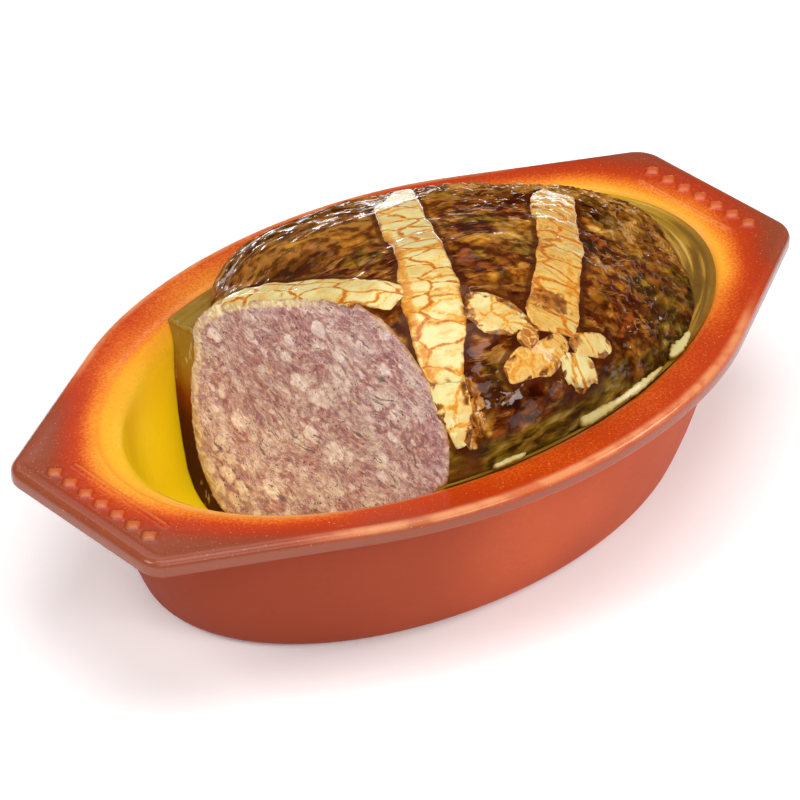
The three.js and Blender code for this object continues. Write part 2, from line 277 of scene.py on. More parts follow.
def dish_rings():
    """Rings from the middle of the base round the outside to the middle of the floor.
    The last value returned is the ring that forms the lip."""
    foot, neck, fillet, lower_edge, upper_edge = 6, 64.7, 4, 1.5, 2.8
    rings = [at_height(oval(60, 35), 0)]
    for a in range(0, 91, 15):
        z = foot * (1 - math.cos(math.radians(a)))
        p, q = body_radii(z)
        cut = foot * (1 - math.sin(math.radians(a)))
        rings.append(at_height(oval(p - cut, q - cut), z))
    rings += [at_height(oval(*body_radii(z)), z) for z in (10, 15, 21, 28, 36, 45, 55, 61)]
    p, q = body_radii(neck)
    for a in range(0, 91, 18):
        out = fillet * (1 - math.cos(math.radians(a)))
        rings.append(at_height(oval(p + out, q + out), neck + fillet * math.sin(math.radians(a))))
    halfway = [((a[0] + b[0]) / 2, (a[1] + b[1]) / 2) for a,
               b in zip(oval(p + fillet, q + fillet), inset(outline, lower_edge))]
    rings.append(at_height(halfway, neck + fillet))
    for a in range(0, 91, 30):
        cut = lower_edge * (1 - math.sin(math.radians(a)))
        z = neck + fillet + lower_edge * (1 - math.cos(math.radians(a)))
        rings.append(at_height(inset(outline, cut), z))
    for a in range(0, 91, 15):
        cut = upper_edge * (1 - math.cos(math.radians(a)))
        rings.append(at_height(inset(outline, cut), RIM - upper_edge * (1 - math.sin(math.radians(a)))))
    rings += [at_height(inset(outline, cut), RIM) for cut in (4, 5.6)]
    band, lip = inset(outline, 7.2), oval(LIP[0] + 3, LIP[1] + 3)
    for t in (0, 0.08, 0.25, 0.5, 0.75, 1):
        loop = [(a[0] + (b[0] - a[0]) * t, a[1] + (b[1] - a[1]) * t) for a, b in zip(band, lip)]
        rings.append(at_height(loop, RIM - 0.15 - 0.45 * t))
    lip_ring = len(rings) + 1
    for out, drop in ((1.2, 0.75), (0.2, 1.05), (-0.8, 1.5)):
        rings.append(at_height(oval(LIP[0] + out, LIP[1] + out), RIM - drop))
    for z in (73.6, 72.4, 71, 69.5, 68, 66, 62, 56, 49, 42, 35, 28, 21, 17, 14, 12, 10.6, 9.7, 9.2):
        rings.append(at_height(oval(*well_radii(z)), z))
    p, q = well_radii(9)
    rings += [at_height(oval(p, q), 9), at_height(oval(p * 0.5, q * 0.5), 9)]
    return rings, lip_ring


def lug_relief(x, y):
    """Height of the generic ornament on a lug: a row of raised lozenges above a plain line."""
    side = 1 if x > 0 else -1
    along = y
    across = (x - 0.025 * y) * side
    height = 0.0
    for i in range(7):
        reach = abs(across - 168) / 4.9 + abs(along - (i - 3) * 9.6) / 4.4
        height = max(height, 1.15 * blend(1.05, 0.45, reach))
    line = max(abs(across - 158.5) / 1.2, 1 + (abs(along) - 28.5) / 1.2)
    return max(height, 0.8 * blend(1.15, 0.3, line))


def vertex_layers(bm, *names):
    """Values that the mesh will carry at its vertices for its finish to read."""
    for name in names:
        bm.verts.layers.float.new(name)
    return [bm.verts.layers.float[name] for name in names]


dish = bmesh.new()
dish_loops, lip_ring = dish_rings()
travel, from_edge, spray, raised = vertex_layers(dish, "from_lip", "from_edge", "spray", "raised")
columns = draw_rings(dish, dish_loops)

# how far out on the sprayed fade, from gold to brown, the flange starts and how fast it runs, by angle
spray_marks = [(-180, -1, 1.04), (-150, 4, 1.0), (-125, 10, 0.55), (-90, 9, 0.12), (-55, 9, 0.2),
               (-25, -1.5, 0.90), (0, -3.5, 0.92), (25, -2.5, 0.82), (50, 5, 0.66), (90, 3, 0.3),
               (125, 5, 0.42), (150, 1.5, 1.1), (180, -1, 1.04)]


def sprayed_at(turn, reach):
    angle = math.degrees(turn)
    for (a, start, rate), (b, next_start, next_rate) in zip(spray_marks, spray_marks[1:]):
        if a <= angle <= b:
            t = blend(a, b, angle)
            start, rate = start + (next_start - start) * t, rate + (next_rate - rate) * t
            return start + rate * reach if reach > 0 else start * math.exp(reach / 9.0) + reach
    return reach


def walk(line, layer, sign):
    """Writes how far along the surface each vertex of a line lies from the first."""
    walked = 0.0
    for before, vert in zip(line, line[1:]):
        walked += sign * (vert.co - before.co).length * 1000
        vert[layer] = walked


for line in zip(*columns):
    walk(line[lip_ring:], travel, -1)
    walk(line[lip_ring::-1], travel, 1)
    outermost = max(range(lip_ring), key=lambda k: line[k].co.to_2d().length)
    walk(line[outermost:lip_ring + 1], from_edge, 1)
for column in columns:
    for vert in column:
        turn = math.atan2(vert.co.y / LIP[1], vert.co.x / LIP[0])
        vert[spray] = sprayed_at(turn, vert[travel])
lug_faces = [f for f in dish.faces if abs(f.calc_center_median().x) > 0.148
             and f.calc_center_median().z > 0.0751 and abs(f.calc_center_median().y) < 0.040]
lug_edges = list({e for f in lug_faces for e in f.edges})
bmesh.ops.subdivide_edges(dish, edges=lug_edges, cuts=5, use_grid_fill=True)
for vert in dish.verts:
    if vert.co.z > 0.0752 and abs(vert.co.x) > 0.150:
        vert[raised] = lug_relief(vert.co.x * 1000, vert.co.y * 1000)
        vert.co.z += 0.001 * vert[raised]
bmesh.ops.recalc_face_normals(dish, faces=dish.faces)
for face in dish.faces:
    face.smooth = True
dish_mesh = mesh_of(dish, "dish_glazed")


def mixed(factor, low, high, kind="MIX"):
    return put("Mix", {0: factor, 6: low, 7: high}, data_type="RGBA", blend_type=kind).outputs[2]


def counted(kind, first, second=0.0):
    return put("Math", {0: first, 1: second}, operation=kind).outputs[0]


def plus(*values):
    return functools.reduce(lambda first, second: counted("ADD", first, second), values)


def times(*values):
    return functools.reduce(lambda first, second: counted("MULTIPLY", first, second), values)


def most(*values):
    return functools.reduce(lambda first, second: counted("MAXIMUM", first, second), values)


def ranged(value, low, high, to_low=0.0, to_high=1.0):
    """The value eased from one range to another, and held at its ends."""
    return put("MapRange", {"Value": value, "From Min": low, "From Max": high, "To Min": to_low,
                            "To Max": to_high}, interpolation_type="SMOOTHSTEP").outputs["Result"]


def banded(value, stops):
    """Colours laid along a value, each stop a place from 0 to 1 and a colour."""
    made = put("ValToRGB", {"Fac": value})
    ramp = made.color_ramp
    while len(ramp.elements) < len(stops):
        ramp.elements.new(0.5)
    for element, (place, *colour) in zip(ramp.elements, stops):
        element.position = place
        element.color = paint(*colour)
    return made.outputs["Color"]


def laid(place, stretch, turn):
    """The same places turned first, then squeezed, so that a grain runs the way it is turned."""
    if turn != (0, 0, 0):
        turn = [math.radians(a) for a in turn]
        place = put("Mapping", {"Vector": place, "Rotation": turn}).outputs[0]
    if stretch != (1, 1, 1):
        place = put("Mapping", {"Vector": place, "Scale": stretch}).outputs[0]
    return place


def clouds(place, scale, detail=3.0, distortion=0.0, stretch=(1, 1, 1), turn=(0, 0, 0)):
    return put("TexNoise", {"Vector": laid(place, stretch, turn), "Scale": scale, "Detail": detail,
                            "Distortion": distortion}).outputs["Fac"]


def apart(place):
    """A place along X, Y and Z."""
    return put("SeparateXYZ", {0: place}).outputs


def carried(shader, name):
    """A value that the mesh carries at its vertices."""
    return put("Attribute", {}, shader.id_data, attribute_name=name).outputs["Fac"]


def uneven(shader, height, strength, distance):
    """Relief too fine for the mesh."""
    bump = put("Bump", {"Height": height, "Strength": strength, "Distance": distance})
    feed(shader, Normal=bump.outputs[0])


glaze, shader, place = new_finish("sprayed_glaze", Specular_IOR_Level=0.15, Coat_Roughness=0.08)
at_x, at_y, at_z = apart(place)
from_lip, spray, raised = (carried(shader, name) for name in ("from_lip", "spray", "raised"))
drift = ranged(clouds(place, 0.022, 3.0), 0.2, 0.8, -2.2, 2.2)
dusting = ranged(clouds(place, 0.9, 2.0), 0.2, 0.8, -2.4, 2.4)
fade = plus(spray, drift, dusting)
fade = put("MapRange", {"Value": fade, "From Min": -40.0, "From Max": 30.0}).outputs["Result"]
sprayed = [(-36, 255, 219, 18), (-14, 255, 208, 34), (-6, 246, 178, 44), (0, 240, 160, 46),
           (4, 228, 128, 34), (8, 206, 86, 20), (11, 184, 59, 11), (15, 175, 53, 15), (19, 160, 54, 22),
           (24, 143, 62, 36), (29, 140, 66, 42)]
top_colour = banded(fade, [((reach + 40.0) / 70.0, *colour) for reach, *colour in sprayed])
speck = ranged(clouds(place, 1.5, 1.0), 0.70, 0.77, 0.0, 0.55)
top_colour = mixed(speck, top_colour, (255, 190, 105))
lip_line = times(ranged(from_lip, -2.6, -0.6), ranged(from_lip, 1.6, -0.2))
top_colour = mixed(times(lip_line, 0.3), top_colour, (226, 120, 34))
top_colour = mixed(ranged(raised, 0.15, 0.9, 0.0, 0.45), top_colour, (214, 118, 58))
from_edge = carried(shader, "from_edge")
on_side = ranged(counted("ABSOLUTE", at_x), 135, 100, 0.05, 1.0)
# painted highlight, partly glaze thinning over the rounded outer edge: a pale cream band along the flange's
# edge, kept off the lug ends
edge_break_and_highlight = times(ranged(from_edge, 3.0, 5.6), ranged(from_edge, 9.6, 6.6),
             ranged(clouds(place, 0.10, 4.0), 0.36, 0.60, 0.35, 0.68), on_side)
top_colour = mixed(edge_break_and_highlight, top_colour, (232, 158, 104))

clay = mixed(clouds(place, 0.03, 4.0), (188, 80, 44), (212, 98, 56))
clay = mixed(ranged(clouds(place, 0.5, 4.0), 0.3, 0.8, 0.0, 0.6), clay, (184, 86, 56))
clay = mixed(ranged(clouds(place, 0.011, 2.0), 0.35, 0.65, 0.0, 0.5), clay, (166, 70, 44))
# painted shade: the clay is darkened towards the left end, where less light falls on the body
clay = mixed(ranged(at_x, 0, -110, 0.0, 0.8), clay, (140, 56, 34))
outside = ranged(from_lip, 12, 14)
below = times(ranged(at_z, 70.3, 69.3), outside)
edge_face = times(ranged(at_z, 74.2, 73.0), outside)
top_colour = mixed(times(edge_face, 0.8), top_colour, (150, 84, 62))
feed(shader, Base_Color=mixed(below, top_colour, clay), Roughness=ranged(below, 0, 1, 0.22, 0.62),
     Coat_Weight=ranged(below, 0, 1, 0.3, 0.0))
orange_peel = clouds(place, 0.22, 3.0)
fine_pits = clouds(place, 1.3, 2.0)
uneven(shader, plus(orange_peel, times(fine_pits, 0.2)), 0.3, 0.0005)

dish_glazed = placed("dish_glazed", dish_mesh, glaze)
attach(dish_glazed, "root")
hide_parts("dish")


# -------------------------------------------------------------------- loaf
# Coarse rabbit forcemeat, packed raw into the dish and baked until it domes.
# The top is browned and set under its own jelly; a knife has taken one end
# off, so the pink mince with its fat and herbs shows on a leaning cut.

CROWN = Vector((-16.5, -24.5))
CUT_NORMAL = Vector((1.0, 0.0, -0.26)).normalized()
CUT_POINT = Vector((-62.5, 0.0, RIM))


def past_cut(point):
    """Millimetres into the food from the plane of the cut."""
    return (point - CUT_POINT).dot(CUT_NORMAL)


def jelly_gap(turn, z):
    angle = math.degrees(turn)
    if angle < -150:
        angle += 360
    pocket = blend(101, 113, angle) * (1 - blend(195, 215, angle))
    up = max(0.0, (z - 40) / 36)
    bath = math.exp(-((angle + 18) / 27) ** 2) * max(0.0, (z - 60) / 16) ** 2
    return 2 + pocket * (13 - 7 * (1 - up ** 2)) + 15 * bath


def loaf_ring(z, grow, count=240):
    p, q = well_radii(max(z, 21))
    lowest, corner = 12, 20
    foot = min(max(lowest + corner - z, 0.0), corner)
    curl = corner - math.sqrt(corner ** 2 - foot ** 2)
    out = []
    for i in range(count):
        t = 2 * math.pi * i / count
        t = t - 2 * math.pi if t > math.pi else t
        gap = jelly_gap(t, z) + curl - grow
        out.append(((p - gap) * math.cos(t), (q - gap) * math.sin(t)))
    return out


def dome_profile(reach, dx, dy):
    across = 1 - dx * dx / (dx * dx + dy * dy + 1e-9)
    spread, shoulder = (1.0, 0.47) if dy > 0 else (1.6, 0.3)
    spread = spread * across + 1.67 * (1 - across)
    shoulder = shoulder * across + 0.96 * (1 - across)
    rise, blunt = 51.6, 0.12
    soft = (math.hypot(reach, blunt) - blunt) / (math.hypot(1, blunt) - blunt)
    return RIM + rise * (1 - min(soft, 1.0) ** spread) ** shoulder


loaf_edge = [Vector(p) for p in loaf_ring(RIM, 0, 120)]


def dome_height(x, y):
    """Height of the dome over a point in plan, from its share of the way to the loaf's edge."""
    dx, dy = x - CROWN.x, y - CROWN.y
    reach = 1.0
    for i, a in enumerate(loaf_edge):
        b = loaf_edge[(i + 1) % len(loaf_edge)]
        ex, ey = b.x - a.x, b.y - a.y
        det = ex * dy - ey * dx
        if abs(det) < 1e-9:
            continue
        along = (dx * (a.y - CROWN.y) - dy * (a.x - CROWN.x)) / det
        far = (ex * (a.y - CROWN.y) - ey * (a.x - CROWN.x)) / det
        if 0 <= along <= 1 and far > 0:
            reach = 1 / far
    return dome_profile(reach, dx, dy)


def loaf_rings():
    heights = 12, 12.6, 14, 17, 21, 26, 32, 42, 52, 60, 66, 70, 73
    rings = [at_height(loaf_ring(12, -25), 12)] + [at_height(loaf_ring(z, 0), z) for z in heights]
    edge = loaf_ring(RIM, 0)
    for reach in (1, .995, .985, .97, .95, .92, .88, .83, .77, .7, .62, .53, .44, .35, .26, .17, .09, .03):
        ring = []
        for x, y in edge:
            dx, dy = x - CROWN.x, y - CROWN.y
            ring.append((CROWN.x + dx * reach, CROWN.y + dy * reach, dome_profile(reach, dx, dy)))
        rings.append(ring)
    return rings


def cut_off(bm, behind):
    """Takes the eaten end off, some millimetres behind the plane of the cut. The new open edges."""
    plane_point = (CUT_POINT + CUT_NORMAL * behind) * 0.001
    halved = bmesh.ops.bisect_plane(bm, geom=bm.verts[:] + bm.edges[:] + bm.faces[:], dist=1e-7,
                                    plane_co=plane_point, plane_no=CUT_NORMAL, clear_inner=True)
    return [e for e in halved["geom_cut"] if isinstance(e, bmesh.types.BMEdge)]


loaf = bmesh.new()
draw_rings(loaf, loaf_rings())
bmesh.ops.recalc_face_normals(loaf, faces=loaf.faces)
bmesh.ops.contextual_create(loaf, geom=cut_off(loaf, 0.0))
bmesh.ops.triangulate(loaf, faces=loaf.faces[:])
bmesh.ops.recalc_face_normals(loaf, faces=loaf.faces)
loaf_mesh = mesh_of(loaf, "loaf_dressed")


def evened(mesh, cell):
    """The same solid in even faces about one cell across, in metres."""
    held = placed("evening", mesh)
    step = held.modifiers.new("evening", "REMESH")
    step.mode = "VOXEL"
    step.voxel_size = cell
    step.use_smooth_shade = True
    done = bpy.data.meshes.new_from_object(held.evaluated_get(bpy.context.evaluated_depsgraph_get()))
    bpy.data.objects.remove(held)
    return done


loaf_mesh = evened(loaf_mesh, cell=0.00108)
loaf_mesh.name = "loaf_dressed"
loaf = bmesh.new()
loaf.from_mesh(loaf_mesh)
cut_share, from_skin, hollow = vertex_layers(loaf, "cut_share", "from_skin", "hollow")
bmesh.ops.smooth_vert(loaf, verts=[v for v in loaf.verts if past_cut(v.co * 1000) > 1.5], factor=0.5,
                      use_axis_x=True, use_axis_y=True, use_axis_z=True)


def nearest_of(points):
    """Finds the nearest of many points."""
    finder = KDTree(len(points))
    for i, point in enumerate(points):
        finder.insert(point, i)
    finder.balance()
    return finder.find


nearest_skin = nearest_of([v.co.copy() for v in loaf.verts if 0.8 < past_cut(v.co * 1000) < 3.0])


def lumps(at):
    """How far the baked top stands out or sinks, in millimetres: swells, folds, then bits of meat."""
    swell = noise.noise(Vector((at.x * 0.035, at.y * 0.05, at.z * 0.04)) + Vector((3, 8, 1)))
    folds = noise.fractal(Vector((at.x * 0.07, at.y * 0.12, at.z * 0.1)), 1.0, 2.0, 2)
    bits = noise.fractal(Vector((at.x * 0.20, at.y * 0.26, at.z * 0.26)) + Vector((9, 2, 4)), 0.9, 2.0, 3)
    knobbly = blend(25, 70, at.x) * 0.75 + 0.25
    return 1.2 * swell + 0.45 * folds + 1.0 * bits * knobbly


def mince(at):
    """How far the grains of the cut mince stand out, in millimetres."""
    return 0.45 * noise.fractal(at * 0.24, 0.9, 2.0, 3)


loaf.normal_update()
shifts = []
for vert in loaf.verts:
    at = vert.co * 1000
    depth = past_cut(at)
    on_cut = blend(1.1, 0.3, depth)
    gap = nearest_skin(vert.co)[2] * 1000
    vert[cut_share] = on_cut
    vert[from_skin] = gap if on_cut > 0.3 else 0.0
    above = blend(RIM - 6, RIM + 5, at.z)
    ragged = blend(4, 0, gap) * on_cut
    rise = lumps(at)
    vert[hollow] = rise
    shoulder = blend(-45, -15, at.x) * blend(95, 60, at.x) * blend(12, 42, at.y) * blend(78, 92, at.z)
    push = (1 - on_cut) * above * (rise - 0.35) + 3.2 * shoulder * (1 - on_cut)
    shift = vert.normal * push
    shift += CUT_NORMAL * -on_cut * (mince(at) - 0.1)
    shift += CUT_NORMAL * ragged * (0.9 * abs(noise.noise(at * 0.35)) + 0.3)
    shifts.append(shift * 0.001)
for vert, shift in zip(loaf.verts, shifts):
    vert.co += shift
    vert.co.z = min(vert.co.z, cad_box[1][2] - 0.0004)
for face in loaf.faces:
    face.smooth = True
loaf.to_mesh(loaf_mesh)
loaf.free()


def wet_film_group():
    """The ripple of set jelly lying over food."""
    group = bpy.data.node_groups.new("wet_film", "ShaderNodeTree")
    group.interface.new_socket("Ripple", in_out="OUTPUT", socket_type="NodeSocketFloat")
    group.interface.new_socket("Place", in_out="INPUT", socket_type="NodeSocketVector")
    group.interface.new_socket("Scale", in_out="INPUT", socket_type="NodeSocketFloat")
    enter, leave = group.nodes.new("NodeGroupInput"), group.nodes.new("NodeGroupOutput")
    spread = put("VectorMath", {0: enter.outputs["Place"], "Scale": enter.outputs["Scale"]},
                 operation="SCALE").outputs[0]
    ripple = plus(clouds(spread, 0.09, 2.0, 0.6), times(clouds(spread, 0.27, 1.0, 0.4), 0.24))
    group.links.new(ripple, leave.inputs["Ripple"])
    return group


wet_film = wet_film_group()


def rippled(place, scale):
    return put("Group", {"Place": place, "Scale": scale}, place.id_data, node_tree=wet_film).outputs[0]


def warped(place, scale, reach, detail=3.0):
    """The same places pushed about, so that straight or round patterns turn ragged."""
    push = put("TexNoise", {"Vector": place, "Scale": scale, "Detail": detail}).outputs["Color"]
    push = put("VectorMath", {0: push, 1: (0.5, 0.5, 0.5)}, operation="SUBTRACT").outputs[0]
    push = put("VectorMath", {0: push, "Scale": reach}, operation="SCALE").outputs[0]
    return put("VectorMath", {0: place, 1: push}, operation="ADD").outputs[0]


meat, shader, place = new_finish("forcemeat_and_crust", Specular_IOR_Level=0.0, Coat_Roughness=0.03,
                                 Coat_IOR=1.36, Subsurface_Weight=0.12, Subsurface_Radius=(1.0, 0.4, 0.2),
                                 Subsurface_Scale=0.002)
at_x, at_y, at_z = apart(place)

# browned top under its film: red-brown meat with golden scraps, greener patches, dark gaps
grain = (0.6, 1, 1), (0, 0, 20)
torn = warped(place, 0.09, 5.0, 4.0)
scrap_place = laid(torn, *grain)
scrap_tone = put("TexVoronoi", {"Vector": scrap_place, "Scale": 0.09}).outputs["Color"]
scrap_tone = put("SeparateColor", {0: scrap_tone}).outputs[0]
gaps = put("TexVoronoi", {"Vector": scrap_place, "Scale": 0.12},
           feature="DISTANCE_TO_EDGE").outputs["Distance"]
crumb = clouds(warped(place, 0.14, 4.0, 2.0), 0.20, 4.0, 0.2, (0.75, 1, 1), (0, 0, 20))
toward_right = most(ranged(at_x, 20, 70), ranged(at_y, -45, -75))
fine_crumb = clouds(place, 1.3, 3.0, 0.3)
golden = banded(plus(times(scrap_tone, 0.16), times(crumb, 0.92)),
                [(0.38, 112, 56, 10), (0.49, 166, 102, 24), (0.60, 200, 140, 48), (0.74, 232, 184, 100)])
brown_patch = plus(clouds(torn, 0.06, 3.0, 0.0, *grain), times(toward_right, 0.045))
brown_patch = ranged(brown_patch, 0.43, 0.53)
crust = mixed(brown_patch, golden, mixed(ranged(crumb, 0.38, 0.64), (84, 34, 6), (164, 100, 32)))
olive_patch = ranged(clouds(torn, 0.065, 3.0, 0.0, (1, 1, 1), (60, 10, 5)), 0.53, 0.62, 0.0, 0.75)
crust = mixed(olive_patch, crust, mixed(ranged(crumb, 0.40, 0.64), (62, 40, 5), (160, 126, 36)))
red_patch = ranged(clouds(torn, 0.075, 4.0, 0.0, (1, 1, 1), (0, 30, 50)), 0.51, 0.59, 0.0, 0.9)
crust = mixed(red_patch, crust, mixed(ranged(crumb, 0.42, 0.64), (66, 18, 3), (146, 70, 20)))
crust = mixed(ranged(gaps, 0.08, 0.0, 0.0, 0.5), crust, (58, 20, 4))
thread_place = warped(place, 0.05, 9.0, 2.0)
threads = clouds(thread_place, 0.42, 2.0, 0.2, (0.14, 1.0, 0.7), (0, 0, 12))
thread = times(ranged(threads, 0.585, 0.63), ranged(threads, 0.71, 0.64),
               ranged(clouds(place, 0.05, 2.0), 0.42, 0.58, 0.1, 0.65))
crust = mixed(times(ranged(at_y, 5, 40), ranged(crumb, 0.42, 0.62, 0.15, 0.6)), crust, (176, 122, 52))
crust = mixed(thread, crust, mixed(crumb, (166, 108, 40), (222, 174, 108)))
broad = clouds(torn, 0.045, 3.0, 0.3, *grain)
crust = mixed(1.0, crust, banded(broad, [(0.38, 178, 162, 140), (0.50, 250, 242, 226),
                                         (0.60, 255, 255, 255)]), "MULTIPLY")
tone = ranged(fine_crumb, 0.3, 0.7, 0.0, 1.0)
crust = mixed(0.22, crust, mixed(tone, (150, 140, 130), (255, 250, 240)), "MULTIPLY")
front_low = times(ranged(at_z, 96, 82), ranged(at_y, -30, -55),
                  ranged(clouds(torn, 0.06, 3.0), 0.40, 0.52, 0.35, 0.95))
set_drops = clouds(torn, 0.15, 3.0, 0.3, (0.6, 1.0, 1.7))
green = banded(plus(times(set_drops, 0.75), times(crumb, 0.25)),
               [(0.34, 30, 12, 2), (0.48, 62, 40, 6), (0.60, 106, 84, 18), (0.72, 160, 138, 62)])
crust = mixed(front_low, crust, green)
olive_band = times(ranged(at_z, 90, 84), ranged(at_x, 45, 15), ranged(at_y, -60, -75))
olive = banded(set_drops, [(0.36, 54, 36, 6), (0.46, 104, 80, 18), (0.56, 146, 114, 34),
                           (0.66, 184, 160, 84)])
crust = mixed(times(olive_band, 0.8), crust, olive)
by_cut = times(ranged(at_x, -43, -49), ranged(at_y, -79, -84))
crust = mixed(times(by_cut, 0.85), crust, mixed(crumb, (46, 12, 3), (110, 50, 14)))
hollow_here = carried(shader, "hollow")
# painted shade: the crust is darkened where the lumps sink, in the hollows where shade falls
crust = mixed(ranged(hollow_here, 0.1, -0.9, 0.0, 0.45), crust, (48, 16, 3))
behind_cut = plus(times(at_x, CUT_NORMAL.x), times(at_z, CUT_NORMAL.z))
behind_cut = counted("SUBTRACT", behind_cut, CUT_POINT.dot(CUT_NORMAL))
behind_cut = plus(behind_cut, ranged(crumb, 0.35, 0.65, -1.5, 1.5))
fatty_lip = times(ranged(behind_cut, 5.0, 2.5), ranged(at_y, -14, 2))
crust = mixed(times(fatty_lip, 0.8), crust, mixed(crumb, (206, 160, 84), (240, 222, 164)))
beside_fat = plus(carried(shader, "beside_fat"), ranged(crumb, 0.3, 0.7, -0.15, 0.15))
# the crust darker beside each slice: browned juices, with painted shade along the slices' edges
crust = mixed(ranged(beside_fat, 0.15, 0.95, 0.0, 0.8), crust, (70, 26, 5))


def spots(place, centres):
    """Mask of round places, each given as its middle and reach in millimetres."""
    mask = 0.0
    for x, y, z, reach in centres:
        away = put("VectorMath", {0: place, 1: (x, y, z)}, operation="DISTANCE")
        mask = most(ranged(away.outputs["Value"], reach, reach * 0.93), mask)
    return mask


wandering = warped(place, 0.16, 9.0, 3.0)
run_down = spots(warped(place, 0.25, 3.0, 3.0), ((-41.5, -71, 109.5, 3), (-40.5, -75, 107.5, 3.6),
                                                 (-42, -79, 103.5, 4), (-44.5, -82, 98.5, 4.4),
                                                 (-46.5, -84, 93, 4.2), (-48, -84.5, 89, 3.6)))
sheet_lines = clouds(wandering, 0.30, 2.0, 0.4, (1.0, 0.4, 0.3))
amber_sheet = banded(sheet_lines, [(0.40, 82, 34, 8), (0.50, 142, 78, 22), (0.58, 190, 130, 58),
                                   (0.62, 226, 190, 124), (0.66, 160, 98, 32)])
crust = mixed(times(run_down, 0.85), crust, amber_sheet)
wrinkles = clouds(wandering, 0.16, 3.0, 0.5, (0.5, 0.35, 1.5))
gold_sheet = banded(wrinkles, [(0.36, 70, 34, 8), (0.45, 132, 84, 26), (0.53, 178, 124, 50),
                               (0.58, 222, 172, 104), (0.62, 168, 110, 44)])
round_right = times(ranged(at_z, 102, 93), ranged(at_x, 45, 75), ranged(at_y, -45, -20))
crust = mixed(times(round_right, 0.65), crust, gold_sheet)

# cut mince: coarse meat pressed into sloping streaks, with pale fat, herbs and pepper
slope = (-6, 0, 0)
kneaded = warped(warped(place, 0.022, 16.0, 1.0), 0.09, 3.4, 4.0)
bed = clouds(kneaded, 0.16, 6.0, 0.2, (1.0, 0.50, 1.0), slope)
fine = clouds(kneaded, 0.60, 6.0, 0.3, (1.0, 0.55, 1.0), slope)
grit = clouds(place, 2.0, 3.0, 0.2, (1.0, 0.8, 1.0), slope)
pink = banded(plus(times(bed, 0.44), times(fine, 0.28), times(grit, 0.28)),
              [(0.38, 140, 98, 102), (0.45, 172, 134, 134), (0.51, 196, 166, 158), (0.57, 216, 194, 182),
               (0.66, 238, 224, 208)])
mauve = ranged(clouds(kneaded, 0.13, 3.0, 0.2, (1.0, 0.55, 1.0), slope), 0.52, 0.555, 0.0, 0.8)
pink = mixed(mauve, pink, mixed(ranged(fine, 0.38, 0.62), (148, 98, 100), (190, 146, 140)))
shred = clouds(kneaded, 0.9, 4.0, 0.3, (1.0, 0.35, 1.0), slope)
pink = mixed(ranged(shred, 0.57, 0.61, 0.0, 0.5), pink, (234, 212, 190))
pink = mixed(ranged(shred, 0.41, 0.37, 0.0, 0.4), pink, (142, 92, 98))


def chunks(place, scale, bare, size, stretch=(1.0, 0.62, 1.0)):
    """Mask of separate lumps across the cut: a share of the cells, some filled out small, some large."""
    along, across, up = apart(laid(place, stretch, slope))
    flat = put("CombineXYZ", {0: across, 1: up}).outputs[0]
    cells = put("TexVoronoi", {"Vector": flat, "Scale": scale}, voronoi_dimensions="2D")
    pick = put("SeparateColor", {0: cells.outputs["Color"]})
    reach = plus(cells.outputs["Distance"], times(pick.outputs[1], size * 0.5))
    return times(ranged(pick.outputs[0], bare, bare + 0.02), ranged(reach, size, size * 0.62))


rounded = warped(place, 0.22, 4.2, 5.0)
lower = ranged(at_z, 60, 22)
big_fat = chunks(rounded, 0.125, 0.76, 0.52)
low_fat = times(chunks(rounded, 0.13, 0.45, 0.48, (1, 0.8, 1)), lower)
small_fat = times(chunks(rounded, 0.28, 0.80, 0.50), 0.7)
fat_mask = most(big_fat, low_fat, small_fat)
fat_tint = mixed(ranged(at_z, 40, 80), (222, 202, 184), (222, 202, 196))
pink = mixed(times(fat_mask, 0.9), pink, mixed(ranged(fine, 0.38, 0.62), fat_tint, (244, 228, 214)))
herb = chunks(rounded, 1.05, 0.84, 0.34)
pink = mixed(times(herb, 0.9), pink, (48, 42, 38))
threads = clouds(kneaded, 0.62, 3.0, 0.4, (1.0, 0.14, 1.0), (-12, 0, 0))
threads = times(ranged(threads, 0.605, 0.645), ranged(bed, 0.48, 0.56, 0.1, 0.8))
pink = mixed(threads, pink, (96, 86, 80))
seams = clouds(kneaded, 0.40, 2.0, 0.3, (1.0, 0.28, 1.0), slope)
seams = times(ranged(seams, 0.455, 0.485), ranged(seams, 0.53, 0.50))
pink = mixed(times(seams, 0.35), pink, (196, 140, 112))

skin_depth = carried(shader, "from_skin")
ragged_depth = plus(skin_depth, times(clouds(place, 0.4, 3.0), -3.0))
upper_left = most(times(ranged(at_y, -8, 20), ranged(at_z, 70, 90)), ranged(at_y, 25, 48, 0.0, 0.6))
creamy = times(ranged(ragged_depth, 5.0, 3.8), upper_left,
               ranged(clouds(place, 0.22, 3.0), 0.36, 0.50, 0.25, 1.0))
pink = mixed(creamy, pink, mixed(ranged(fine, 0.35, 0.65), (208, 180, 128), (246, 232, 186)))
pink = mixed(times(ranged(ragged_depth, 1.8, 0.6, 0.0, 0.6), ranged(bed, 0.44, 0.54)), pink,
             (196, 156, 112))
brown_rim = ranged(ragged_depth, 0.3, -0.7, 0.0, 0.8)
pink = mixed(brown_rim, pink, (150, 100, 52))
cut_here = ranged(plus(carried(shader, "cut_share"), times(crumb, 0.6)), 0.68, 0.92)
ripple = rippled(place, 1.0)
film_here = times(ranged(at_y, 5, 45, 0.6, 0.10), ranged(plus(at_x, at_y), 25, 65, 1.0, 0.0))
pools = times(ranged(clouds(place, 0.28, 2.0), 0.53, 0.56), ranged(at_x, 12, 35))
pools = most(pools, spots(wandering, ((-37, -73.5, 111, 7), (-25, -77.5, 110, 9.5), (-13, -80, 109, 8.5),
                                      (-5, -79, 110, 6), (-37, -82, 101, 6), (-26, -86, 96, 7.5),
                                      (-20, -88, 91, 4), (-30, -68, 116, 5), (-8, -86, 101, 5))))
